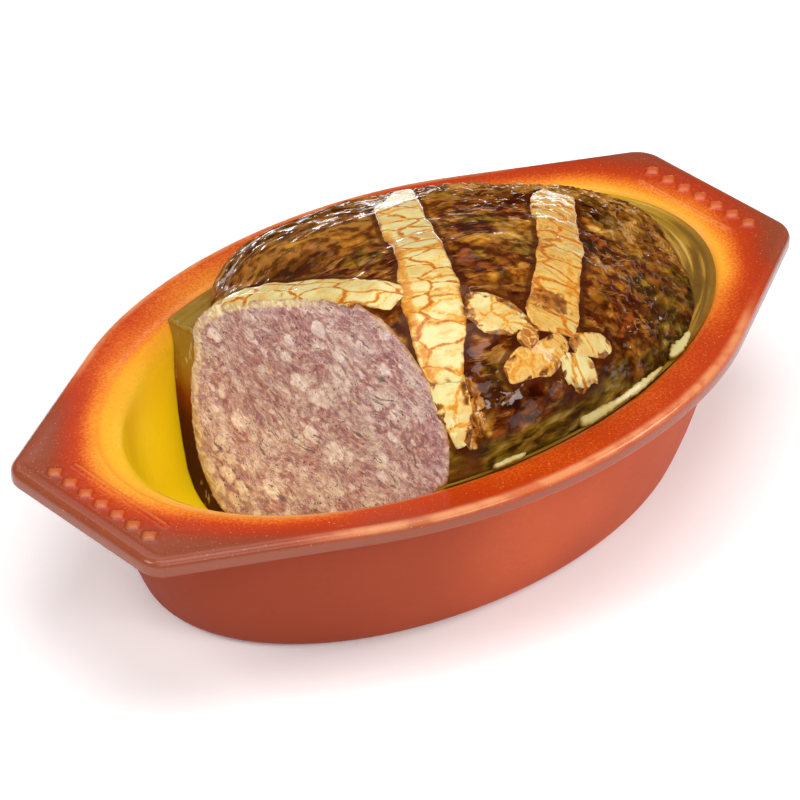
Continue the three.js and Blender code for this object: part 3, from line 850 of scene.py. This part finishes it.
streaks = clouds(wandering, 0.26, 2.0, 0.3, (0.3, 1, 1), (0, 0, 20))
streaks = times(ranged(streaks, 0.535, 0.57), ranged(at_y, 18, 42), ranged(at_x, 70, 50))
specks = times(ranged(clouds(place, 0.34, 0.0), 0.62, 0.64, 0.0, 0.8), ranged(at_x, 40, 55))
film_here = most(film_here, streaks, specks)
front_film = ranged(pools, 0, 1, 0.15, 1.0)
film_here = put("Mix", {0: ranged(at_y, -66, -50), 2: front_film, 3: film_here}).outputs[0]
film_here = times(film_here, ranged(behind_cut, 5, 14, 0.25, 1.0))
damp = put("Mix", {0: cut_here, 2: film_here, 3: 0.10}).outputs[0]
feed(shader, Base_Color=mixed(cut_here, crust, pink), Roughness=ranged(cut_here, 0, 1, 0.42, 0.5),
     Coat_Weight=damp)
calm = ranged(most(pools, streaks), 0, 1, 1.1, 0.45)
relief = mixed(cut_here, plus(times(ripple, calm), times(crumb, 0.05)),
               plus(times(fine, 1.6), times(fat_mask, 0.3)))
uneven(shader, relief, 0.5, 0.0006)

loaf_dressed = placed("loaf_dressed", loaf_mesh, meat)
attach(loaf_dressed, "root")
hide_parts("loaf")


# ------------------------------------------------------------------- jelly
# Cooking juices set round the loaf: a deep band against the back wall where
# the knife has gone through it, and a shallow bath round the uncut end.

def jelly_rings():
    count = 240
    around = [2 * math.pi * i / count for i in range(count)]

    def wall(z):
        p, q = well_radii(z)
        return [((p - 0.3) * math.cos(t), (q - 0.3) * math.sin(t)) for t in around]

    p, q = well_radii(9)
    rings = [at_height([(p * 0.5 * math.cos(t), q * 0.5 * math.sin(t)) for t in around], 9.3)]
    heights = 9, 9.3, 10, 12, 15, 21, 30, 42, 54, 62, 66, 69, 71.5, 73.5
    rings += [at_height(wall(z), z + 0.3) for z in heights]
    outer, inner = wall(75.2), loaf_ring(75.4, 0.3)
    for t in (0, 0.03, 0.1, 0.2, 0.32, 0.44, 0.56, 0.68, 0.8, 0.9, 1):
        ring = []
        for (ax, ay), (bx, by) in zip(outer, inner):
            x, y = ax + (bx - ax) * t, ay + (by - ay) * t
            width = math.hypot(bx - ax, by - ay)
            ridge = 0.30 * math.sin(width * t * 1.9) * blend(3, 9, width) * blend(0, 0.2, t)
            creep = 1.6 * t ** 3 * blend(0, 6, width)
            ring.append((x, y, 75.35 + ridge + creep * 0.6 + 0.25 * (1 - t)))
        rings.append(ring)
    rings += [at_height(loaf_ring(z, -0.4), z - 0.4)
              for z in (74, 70, 66, 60, 52, 42, 32, 26, 21, 17, 14, 12.4)]
    rings.append(at_height(loaf_ring(12, -26), 11.7))
    return rings


jelly = bmesh.new()
round_way, to_loaf = vertex_layers(jelly, "round_way", "to_loaf")
for i, column in enumerate(draw_rings(jelly, jelly_rings())):
    for vert in column:
        at = vert.co * 1000
        p, q = well_radii(76)
        vert[round_way] = (math.atan2(at.y / q, at.x / p) + math.pi) * 120
        vert[to_loaf] = 20 * (1 - math.hypot(at.x / p, at.y / q))
bmesh.ops.recalc_face_normals(jelly, faces=jelly.faces)
cap = bmesh.ops.contextual_create(jelly, geom=cut_off(jelly, 0.7))["faces"]
bmesh.ops.triangulate(jelly, faces=cap)
bmesh.ops.recalc_face_normals(jelly, faces=jelly.faces)
for face in jelly.faces:
    face.smooth = abs(past_cut(face.calc_center_median() * 1000) - 0.7) > 0.02

amber, shader, place = new_finish("amber_jelly", Roughness=0.3, Specular_IOR_Level=0.1, Coat_Roughness=0.04,
                                  Coat_IOR=1.35, Subsurface_Weight=0.3, Subsurface_Radius=(1.0, 0.6, 0.2),
                                  Subsurface_Scale=0.004)
at_x, at_y, at_z = apart(place)
depth = ranged(at_z, 20, 76)
cloudy = clouds(place, 0.05, 3.0, 0.8)
depth = plus(depth, ranged(cloudy, 0.3, 0.7, -0.14, 0.14))
amber_colour = banded(depth, [(0.0, 60, 14, 5), (0.40, 80, 22, 7), (0.68, 120, 50, 10), (0.82, 144, 92, 18),
                              (1.0, 148, 114, 32)])
round_here, in_here = carried(shader, "round_way"), carried(shader, "to_loaf")
sheet = put("CombineXYZ", {0: times(round_here, 0.04), 1: times(in_here, 5.0)}).outputs[0]
ridges = clouds(sheet, 0.34, 4.0, 0.5)
on_top = ranged(at_z, 74.6, 75.2)
collar = mixed(ranged(at_y, -35, 30), (96, 60, 12), (214, 168, 36))
amber_colour = mixed(times(on_top, ranged(at_x, 50, 80, 0.0, 0.6)), amber_colour, collar)
film_line = times(ranged(ridges, 0.49, 0.55), times(on_top, ranged(in_here, 0.2, 1.2)))
film_line = times(film_line, ranged(at_x, 20, 80, 0.1, 1.0))
amber_colour = mixed(times(on_top, ranged(ridges, 0.47, 0.38, 0.0, 0.6)), amber_colour, (96, 64, 10))
amber_colour = mixed(times(film_line, 0.75), amber_colour,
                     mixed(ranged(ridges, 0.56, 0.66), (176, 128, 40), (216, 178, 96)))
shreds = clouds(warped(place, 0.08, 6.0), 0.55, 3.0, 0.5, (1.0, 1.0, 0.22), (24, 0, 0))
shreds = times(ranged(shreds, 0.62, 0.70, 0.0, 0.7), ranged(at_x, -57, -61))
amber_colour = mixed(times(shreds, ranged(clouds(place, 0.05, 2.0), 0.45, 0.6)), amber_colour,
                     (196, 168, 120))
feed(shader, Base_Color=amber_colour, Coat_Weight=ranged(at_z, 70, 75, 0.3, 1.0))
uneven(shader, plus(rippled(place, 1.0), times(ridges, on_top, 1.2)), 0.4, 0.0012)

jelly_set = placed("jelly_set", mesh_of(jelly, "jelly_set"), amber)
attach(jelly_set, "root")
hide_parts("jelly")


# -------------------------------------------------------------- fat slices
# Thin slices of back fat laid over the raw meat before baking. They have
# shrunk and browned along their seams, and the jelly runs over their edges.

# Each slice: its line over the loaf as (x, y, half width); seams across it as (share of its
# length, lean, strength); stains as (share, side, reach along, reach across, strength); how
# golden it has baked; and the cooked-out channel down one side as (from, to, side, strength).
fat_slices = {
    "fat_strip_long": (
        [(46.8, 57.3, 4), (35, 46.3, 7), (19.1, 30.8, 10.3), (-4.7, -5.2, 10.3), (-18.5, -25, 11.8),
         (-27.3, -37.2, 12.5), (-36.5, -49.3, 11.5), (-44, -60.5, 8.5), (-47.5, -66, 6.5)],
        [(.13, -.2, .5), (.25, -.3, .7), (.43, -.3, .8), (.54, -.28, .9), (.555, -.36, .8), (.62, -.2, .45),
         (.70, -.28, .85), (.755, .05, .6), (.80, -.35, .6), (.82, .35, .6), (.857, -.02, 1.0),
         (.92, .05, .35), (.933, .0, .3), (.975, .05, .7)], [(.76, .1, 3, .3, .3)], 0.06,
        [(.38, .86, -.86, .95), (.9, 1.0, -.72, 1.0)]),
    "fat_strip_wide": (
        [(98.7, 16.4, 5.5), (88.2, 9.8, 9.5), (75.4, -2.9, 10.2), (50.2, -31.4, 9.5), (30, -50, 9.8),
         (20, -59, 10.5), (11, -66, 10.8), (6.5, -71, 10.4), (5.2, -74, 9)],
        [(.12, .2, .5), (.25, -.2, .55), (.34, .3, .5), (.46, -.25, .7), (.60, .1, .6), (.66, .5, .6),
         (.73, .45, .8), (.79, -.3, .7), (.955, .3, .8)],
        [(.86, -.3, 9, .9, 1.0), (.30, -.8, 4, .5, .7), (.56, -.9, 5, .4, .6), (.10, .2, 5, .8, .4)], 0.52,
        [(.58, .84, .5, .8)]),
    "fat_strip_at_cut": (
        [(-57, 54, 4), (-55, 47, 6), (-53.9, 40.8, 6.6), (-51.5, 24.9, 8.2), (-48.5, 10.2, 9.6),
         (-44.5, -6.3, 9.5), (-39.8, -19.5, 8.7), (-35.6, -29, 7.6)],
        [(.22, 1.0, .3), (.40, 1.5, .85), (.47, 1.2, .4), (.66, 1.6, .35), (.93, .2, .4)],
        [(.10, -.6, 8, .5, .3)], 0.10, []),
    "fat_patch_corner": (
        [(-45, -61.5, 5.5), (-46.5, -66, 8), (-49, -71.5, 8), (-50.3, -77, 6.5), (-50.5, -81, 4)],
        [(.10, .2, .6)], [], 0.08, [(.0, 1.0, .95, .9)]),
    "fat_patch_middle": (
        [(-20, -47, 6), (-15.5, -52, 10), (-12.5, -58.5, 12), (-10.5, -65, 9.5), (-10.5, -69.5, 6)],
        [(.45, .4, .5)], [(.62, .95, 7, .4, .9), (.05, -.6, 5, .5, .8), (.78, -.95, 7, .4, .9)], 0.08, []),
    "fat_patch_small": (
        [(-3.5, -68.6, 3.4), (-8, -71.6, 4.6), (-13, -73.4, 3.2)], [], [(.1, .8, 2, .6, .5)], 0.75, []),
    "fat_patch_lip": (
        [(-26.5, -78, 3), (-17, -78.2, 5), (-7, -79.4, 5.2), (2, -77.4, 4.2), (8.5, -75, 2.8)],
        [(.35, .3, .3)], [(.88, -.6, 4, .5, .5)], 0.66, []),
    "fat_patch_right": (
        [(10, -79, 2.8), (16, -77.8, 4.4), (24, -77.8, 4.6), (31, -77, 3)], [],
        [(.1, .5, 5, .7, .9), (.62, .8, 4, .5, .8)], 0.25, []),
    "fat_patch_low": (
        [(-1.5, -83, 2.6), (5, -83.4, 4.2), (12, -83.4, 3.4), (17, -84, 2)], [], [(.95, .2, 3, .6, .6)],
        0.08, []),
}
loaf_skin = BVHTree.FromPolygons([v.co * 1000 for v in loaf_mesh.vertices],
                                 [p.vertices[:] for p in loaf_mesh.polygons])


def smooth_path(points, spacing, straight):
    """Even steps along a smooth line, each with its half width and its distance from the start.
    A straight one changes its width in straight runs, as a torn piece does."""
    ends = [points[0]] + list(points) + [points[-1]]
    dense = []
    for i in range(1, len(ends) - 2):
        a, b, c, d = (Vector(p) for p in ends[i - 1:i + 3])
        for k in range(24):
            t = k / 24
            dense.append(0.5 * ((2 * b) + (c - a) * t + (2 * a - 5 * b + 4 * c - d) * t ** 2
                                + (3 * b - a - 3 * c + d) * t ** 3))
            if straight:
                dense[-1].z = b.z + (c.z - b.z) * t
    dense.append(Vector(points[-1]))
    walked = [0.0]
    for a, b in zip(dense, dense[1:]):
        walked.append(walked[-1] + math.hypot(b.x - a.x, b.y - a.y))
    steps = max(6, round(walked[-1] / spacing))
    out, k = [], 0
    for s in range(steps + 1):
        want = walked[-1] * s / steps
        while k < len(dense) - 2 and walked[k + 1] < want:
            k += 1
        t = (want - walked[k]) / max(walked[k + 1] - walked[k], 1e-9)
        out.append((dense[k].lerp(dense[k + 1], t), want))
    return out, walked[-1]


def food_under(x, y):
    """Height and slope of the dressed loaf at a point, smoothed over a few millimetres."""
    crown = dome_height(x, y)
    heights, facing, here = [], Vector(), None
    for dx, dy in ((0, 0), (2.5, 0), (-2.5, 0), (0, 2.5), (0, -2.5)):
        hit, normal = loaf_skin.ray_cast(Vector((x + dx, y + dy, 200)), Vector((0, 0, -1)))[:2]
        if hit is None or hit.z < RIM - 4 or (hit.z < crown - 4 and past_cut(hit) < 4):
            continue
        here = hit.z if here is None else here
        heights.append(hit.z)
        facing += normal
    if here is None:
        slope_x = dome_height(x + 0.5, y) - dome_height(x - 0.5, y)
        slope_y = dome_height(x, y + 0.5) - dome_height(x, y - 0.5)
        return crown, crown - 1, Vector((-slope_x, -slope_y, 1)).normalized()
    return sum(heights) / len(heights), here, facing.normalized()


def wobble(x, y, seed, scale):
    return noise.noise(Vector((x * scale, y * scale, seed * 3.7)))


SLICE_LAYERS = "along", "across", "seam", "stain", "outward"


def fat_slice(name, path, seams, stains, channels, seed, level=None):
    scrap = "patch" in name
    line, length = smooth_path(path, spacing=0.8, straight=scrap)
    widest = max(point[2] for point in path)
    across_count = max(9, 2 * round(widest / 0.9) + 1)
    top = [-1 + 2 * i / (across_count - 1) for i in range(across_count)]
    bottom = [0.7, 0.0, -0.7]
    rings, looks = [], []
    for i, (point, walked) in enumerate(line):
        ahead = line[min(i + 1, len(line) - 1)][0] - line[max(i - 1, 0)][0]
        flat = math.hypot(ahead.x, ahead.y)
        end = min(walked, length - walked)
        taper = math.sqrt(max(0.0, 1 - (1 - min(end / 1.8, 1.0)) ** 2))
        taper = taper * 0.2 + 0.8 if scrap else taper * 0.6 + 0.4
        ring, look = [], []
        for n, side in enumerate(top + bottom):
            hand = 1 if side > 0 else -1
            ragged = 1 + (0.14 if length > 50 else 0.10) * wobble(walked, hand * 40, seed, 0.09)
            ragged += (0.035 if level is None else 0.5) * wobble(walked, hand * 40, seed, 0.5)
            half = point.z * taper * ragged * side
            way = 1 if walked > length / 2 else -1
            end_push = 1.6 * wobble(half, seed * 9, 2, 0.2) * blend(8, 0, end) * way
            x = point.x - ahead.y / flat * half + ahead.x / flat * end_push
            y = point.y + ahead.x / flat * half + ahead.y / flat * end_push
            u = walked + 2.4 * wobble(walked, half, seed, 0.11) + 0.9 * wobble(walked, half, seed + 5, 0.38)
            v = half + 1.5 * wobble(walked, half, seed + 9, 0.13)
            pale, line_here = 1.0, 0.0
            for share, lean, strength in seams:
                off = abs(u - share * length - lean * v)
                thick = max(0.65 + 0.5 * wobble(walked, half, seed + share * 10, 0.14), 0.3)
                line_here = max(line_here, 0.8 * strength * math.exp(-(off / thick) ** 2))
                pale *= 1 - 0.45 * strength * math.exp(-(off / (1.0 + thick)) ** 2)
            for begin, finish, place_across, strength in channels:
                begins, ends = begin * length, finish * length
                lying = blend(begins - 6, begins + 5, walked) * blend(ends + 6, ends - 5, walked)
                off = abs(v - place_across * point.z * 0.95)
                pale *= 1 - lying * strength * 0.5 * blend(0.28 * point.z, 0.08 * point.z, off)
            pale *= 1 - 0.45 * blend(0.84, 1.0, abs(side))
            seam = max(line_here, 1 - pale)
            stain = 0.0
            for share, place_across, reach, reach_across, strength in stains:
                off = math.hypot((u - share * length) / reach, (v / point.z - place_across) / reach_across)
                stain = max(stain, strength * blend(1.15, 0.45, off))
            high, here, facing = food_under(x, y)
            if level is not None:
                high = here = level + 0.75 * max(0.0, half + 1.0)
                facing = Vector((0, -0.4, 0.9))
            if n < across_count:
                edge = math.sqrt(max(0.0, 1 - abs(side) ** 9))
                lift = -0.4 + (0.65 if scrap else 0.85) * edge * min(1, taper + 0.1) - 0.18 * min(seam, 1.0)
                lift += 0.45 * edge if name == "fat_strip_long" else 0.0
                lift += 0.2 * wobble(x, y, seed, 0.12) * edge
                lift = max(lift, here + 0.15 + 0.25 * edge - high) if edge > 0.5 else lift
            else:
                lift = -1.8
            ring.append((x + facing.x * lift, y + facing.y * lift, high + facing.z * lift))
            outward = max(abs(side), 1 - end / (0.6 * point.z + 2))
            look.append((walked, half, min(seam, 1.0), stain, outward))
        rings.append(ring)
        looks.append(look)
    bm = bmesh.new()
    layers = vertex_layers(bm, *SLICE_LAYERS)
    columns = draw_rings(bm, rings)
    for column, look in zip(columns, looks):
        for vert, values in zip(column, look):
            for layer, value in zip(layers, values):
                vert[layer] = value
            vert[layers[0]] += seed * 60.0
    bmesh.ops.recalc_face_normals(bm, faces=bm.faces)
    if min(past_cut(v.co * 1000) for v in bm.verts) < 0:
        cut_off(bm, -0.2)
        filled = bmesh.ops.triangle_fill(bm, edges=[e for e in bm.edges if e.is_boundary])["geom"]
        cut_faces = [g for g in filled if isinstance(g, bmesh.types.BMFace)]
        for vert in {v for face in cut_faces for v in face.verts}:
            vert[layers[2]], vert[layers[3]], vert[layers[4]] = 0.1, 0.0, 0.2
        bmesh.ops.recalc_face_normals(bm, faces=bm.faces)
    for face in bm.faces:
        behind = past_cut(face.calc_center_median() * 1000)
        face.smooth = abs(face.normal.dot(CUT_NORMAL)) < 0.99 or behind > 0.5
    for vert in bm.verts:
        vert.co.z = min(vert.co.z, cad_box[1][2] - 0.0001)
    return mesh_of(bm, name + "_slice")


def fat_finish(name, gold, browned_in, veined, sunk_in=None):
    """Pale baked fat with amber veins; gold runs from 0, just set, to 1, baked through."""
    made, shader, place = new_finish(name, Roughness=0.40, Specular_IOR_Level=0.1, Coat_Weight=1.0,
                                     Coat_Roughness=0.03, Coat_IOR=1.26, Subsurface_Weight=0.18,
                                     Subsurface_Radius=(1.0, 0.7, 0.35), Subsurface_Scale=0.002)
    along, across, seam, stain, outward = (carried(shader, layer) for layer in SLICE_LAYERS)
    sheet = put("CombineXYZ", {0: along, 1: times(across, 0.22)}).outputs[0]
    lines = clouds(warped(sheet, 0.15, 1.6), 0.55, 4.0)
    cloudy = clouds(place, 0.07, 3.0)
    grain = clouds(place, 0.8, 3.0)
    golden = plus(times(cloudy, 1.6), gold - 0.80, ranged(lines, 0.5, 0.75, 0.0, 0.35))
    fat = banded(golden, [(0.0, 218, 206, 144), (0.25, 212, 186, 114), (0.6, 204, 146, 54),
                          (1.0, 164, 90, 20)])
    fat = mixed(ranged(grain, 0.3, 0.7, 0.0, 0.10), fat, (240, 228, 164))
    cell_long, cell_wide = (0.05, 0.13) if "at_cut" in name else (0.10, 0.055)
    cell_place = put("CombineXYZ", {0: times(along, cell_long), 1: times(across, cell_wide)})
    bent = warped(cell_place.outputs[0], 1.0, 0.85, 1.5)
    web = put("TexVoronoi", {"Vector": bent, "Scale": 1.0, "Randomness": 0.85}, feature="DISTANCE_TO_EDGE",
              voronoi_dimensions="2D").outputs["Distance"]
    web = plus(web, ranged(clouds(place, 0.35, 2.0), 0.3, 0.7, -0.02, 0.04))
    web = ranged(web, 0.10 + 0.16 * gold, 0.01, 0.0, veined)
    small_web = put("TexVoronoi", {"Vector": bent, "Scale": 2.6}, feature="DISTANCE_TO_EDGE",
                    voronoi_dimensions="2D").outputs["Distance"]
    small_web = times(ranged(small_web, 0.10, 0.0, 0.0, veined * 0.5),
                      ranged(plus(cloudy, gold * 0.25), 0.48, 0.62))
    veins = most(seam, web, small_web)
    reach = plus(veins, ranged(grain, 0.3, 0.7, -0.10, 0.10))
    amber_seam = banded(reach, [(0.10, 230, 206, 128), (0.32, 220, 172, 80), (0.55, 206, 138, 46),
                                (0.78, 182, 98, 24), (1.0, 136, 62, 12)])
    fat = mixed(ranged(reach, 0.08, 0.34), fat, amber_seam)
    burnt = plus(stain, ranged(clouds(place, 0.25, 4.0, 0.8), 0.3, 0.7, -0.4, 0.4))
    brown = mixed(ranged(clouds(place, 0.3, 4.0), 0.35, 0.65), (92, 34, 6), (176, 104, 30))
    fat = mixed(ranged(burnt, 0.30, 0.95, 0.0, 0.92), fat, brown)
    blotch = clouds(place, 0.20, 4.0, 0.4)
    overrun = plus(outward, ranged(blotch, 0.37, 0.63, -browned_in, browned_in))
    juices = mixed(ranged(grain, 0.35, 0.65), (72, 28, 5), (140, 78, 20))
    fat = mixed(ranged(overrun, 0.90 - browned_in * 0.5, 1.02, 0.0, 0.9), fat, (196, 128, 44))
    fat = mixed(ranged(overrun, 1.0 - browned_in * 0.4, 1.10, 0.0, 0.95), fat, juices)
    if sunk_in:
        fat = mixed(ranged(plus(outward, cloudy), 0.7, 1.5, 0.25, 0.9), fat, mixed(grain, *sunk_in))
    feed(shader, Base_Color=fat)
    uneven(shader, plus(rippled(place, 0.8), times(lines, 0.25)), 0.3, 0.0007)
    return made


for seed, (name, (path, seams, stains, gold, channels)) in enumerate(fat_slices.items()):
    browned_in, veined = (0.12, 0.75) if "strip" in name else (0.40, 0.55)
    fat = placed(name + "_slice", fat_slice(name, path, seams, stains, channels, seed),
                 fat_finish("baked_fat_" + name[4:], gold, browned_in, veined))
    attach(fat, "root")
    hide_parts(name)

# thin slivers of fat that slid down and set in the jelly along the front edge
slivers = {
    "sliver_near": [(4, -89.0, 1.6), (9, -88.9, 2.9), (17, -88.8, 2.2), (27, -88.4, 1.3), (38, -87.2, 1.7),
                    (48, -85.4, 1.2), (58, -83.0, 0.6)],
    "sliver_far": [(65, -80.6, 0.8), (71, -78.4, 2.1), (78, -75.8, 1.7), (85, -72.4, 0.7)],
    "sliver_left": [(-41, -87.6, 0.6), (-34, -88.4, 1.0), (-27, -89.0, 0.7)]}
for seed, (name, path) in enumerate(slivers.items()):
    finish = fat_finish("set_" + name, 0.05, 0.10, 0.0, ((112, 86, 24), (160, 136, 56)))
    fat = placed(name, fat_slice(name, path, [], [], [], seed + 20, RIM + 0.9), finish)
    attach(fat, "root")

# the crust is darker close beside each slice: browned juices, with painted shade along the slices' edges
nearest_slice = nearest_of([v.co.copy() for name in fat_slices
                            for v in bpy.data.objects[name + "_slice"].data.vertices])
beside = loaf_mesh.attributes.new("beside_fat", "FLOAT", "POINT")
beside.data.foreach_set("value", [blend(3.4, 0.6, nearest_slice(v.co)[2] * 1000)
                                  for v in loaf_mesh.vertices])
